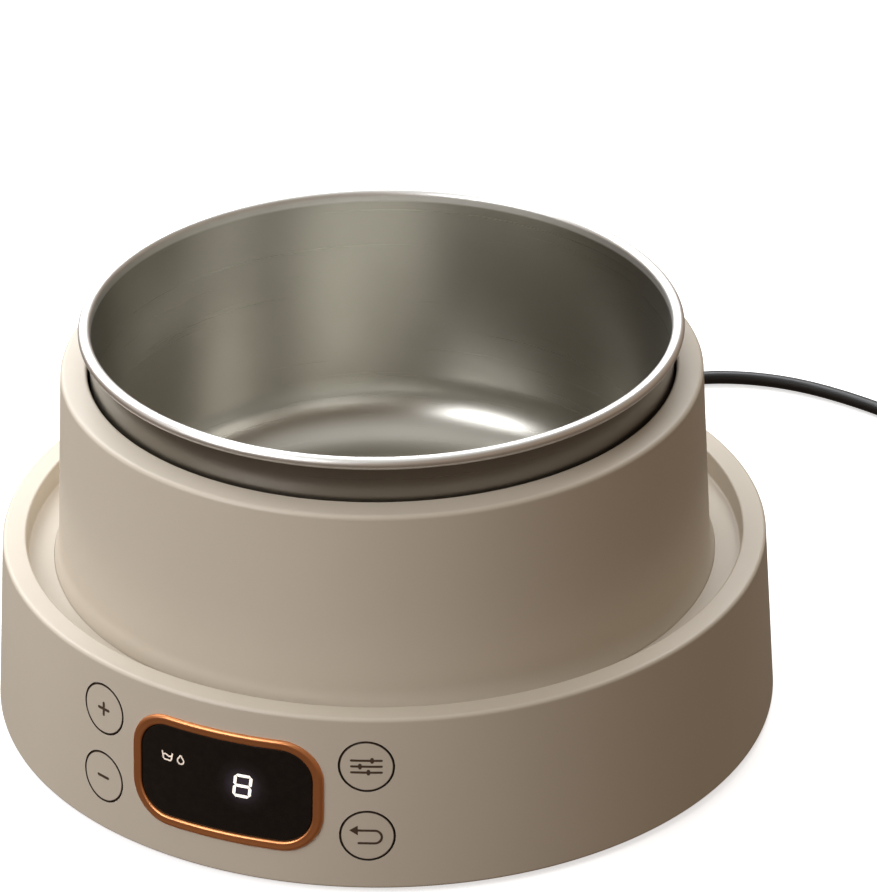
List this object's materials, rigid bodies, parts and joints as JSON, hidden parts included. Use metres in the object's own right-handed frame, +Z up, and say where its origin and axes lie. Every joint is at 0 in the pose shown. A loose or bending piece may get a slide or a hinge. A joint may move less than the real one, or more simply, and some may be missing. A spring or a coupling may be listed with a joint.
{
  "type": "yogurt maker",
  "caption": "Two-tier round yogurt maker: a lift-out steel pot in a heated drum, on a wide base with a display, round keys and a mains cord.",
  "frame": {"origin": "on the table under the middle of the housing, at the bottom of the feet", "axes": "+Z up along the drum and pot, -Y towards the display panel, +Y towards the cord's outlet"},
  "size_m": [0.2881, 0.3219, 0.1158],
  "materials": {
    "housing": "matte cream moulding with a fine texture",
    "steel": "brushed stainless with a polished rim",
    "well_metal": "satin",
    "copper_trim": "satin metallised copper",
    "display_black": "polished black window",
    "inner_black": "matte",
    "board": "solder resist",
    "silicone": "matte silicone",
    "foot_rubber": "matte",
    "cord_rubber": "smooth semi-matte",
    "screw_zinc": "zinc plated",
    "part_blue": "moulded",
    "part_yellow": "moulded",
    "part_green": "moulded",
    "sleeve_white": "woven sleeve",
    "lead_brown": "insulated lead",
    "ribbon_grey": "flat cable",
    "ceramic": "sleeved"
  },
  "bodies": {
    "housing": {"lower_housing": "housing", "upper_housing": "housing", "bottom_cover": "housing", "foot_front_left": "foot_rubber", "foot_front_right": "foot_rubber", "foot_back_left": "foot_rubber", "foot_back_right": "foot_rubber", "cover_screws": "screw_zinc", "drum_screws": "screw_zinc", "heating_well": "well_metal", "well_seal": "silicone", "heater_belt": "silicone", "heater_mat": "silicone", "clamp_plate": "well_metal", "well_carrier": "inner_black", "carrier_screws": "screw_zinc", "temp_sensor": "steel", "thermal_fuse": "ceramic", "sensor_clips": "screw_zinc", "clip_screws": "screw_zinc", "display_bezel": "copper_trim", "display_lens": "display_black", "display_module": "inner_black", "control_board": "board", "key_board_left": "board", "key_board_right": "board", "tact_switches": "inner_black", "panel_bracket": "inner_black", "bracket_screws": "screw_zinc", "panel_screws": "screw_zinc", "power_board": "board", "board_screws": "screw_zinc", "relay": "part_blue", "film_capacitor": "part_yellow", "filter_capacitor": "inner_black", "mains_fuse": "ceramic", "terminal_block": "part_green", "mains_leads": "lead_brown", "heater_leads": "sleeve_white", "sensor_leads": "sleeve_white", "panel_cable": "ribbon_grey", "key_jumpers": "ribbon_grey", "cord_clamp": "housing", "clamp_screws": "screw_zinc", "cord_stub": "cord_rubber", "strain_relief": "cord_rubber", "cord_lead": "cord_rubber", "cord_coil": "cord_rubber", "coil_tie": "cord_rubber", "cord_tail": "cord_rubber", "plug_body": "cord_rubber", "plug_blades": "screw_zinc"},
    "pot": {"inner_pot": "steel"},
    "plus_key": {"key_plus": "housing"},
    "minus_key": {"key_minus": "housing"},
    "menu_key": {"key_menu": "housing"},
    "cancel_key": {"key_cancel": "housing"}
  },
  "joints": [
    {"name": "pot_lift", "type": "slide", "parent": "housing", "child": "pot", "axis": [0, 0, 1], "range_m": [0, 0.09]},
    {"name": "plus_press", "type": "slide", "parent": "housing", "child": "plus_key", "axis": [0.3567, 0.9342, 0], "range_m": [0, 0.0007], "stiffness_N_per_m": 2500},
    {"name": "minus_press", "type": "slide", "parent": "housing", "child": "minus_key", "axis": [0.3567, 0.9342, 0], "range_m": [0, 0.0007], "stiffness_N_per_m": 2500},
    {"name": "menu_press", "type": "slide", "parent": "housing", "child": "menu_key", "axis": [-0.3567, 0.9342, 0], "range_m": [0, 0.0007], "stiffness_N_per_m": 2500},
    {"name": "cancel_press", "type": "slide", "parent": "housing", "child": "cancel_key", "axis": [-0.3567, 0.9342, 0], "range_m": [0, 0.0007], "stiffness_N_per_m": 2500}
  ]
}
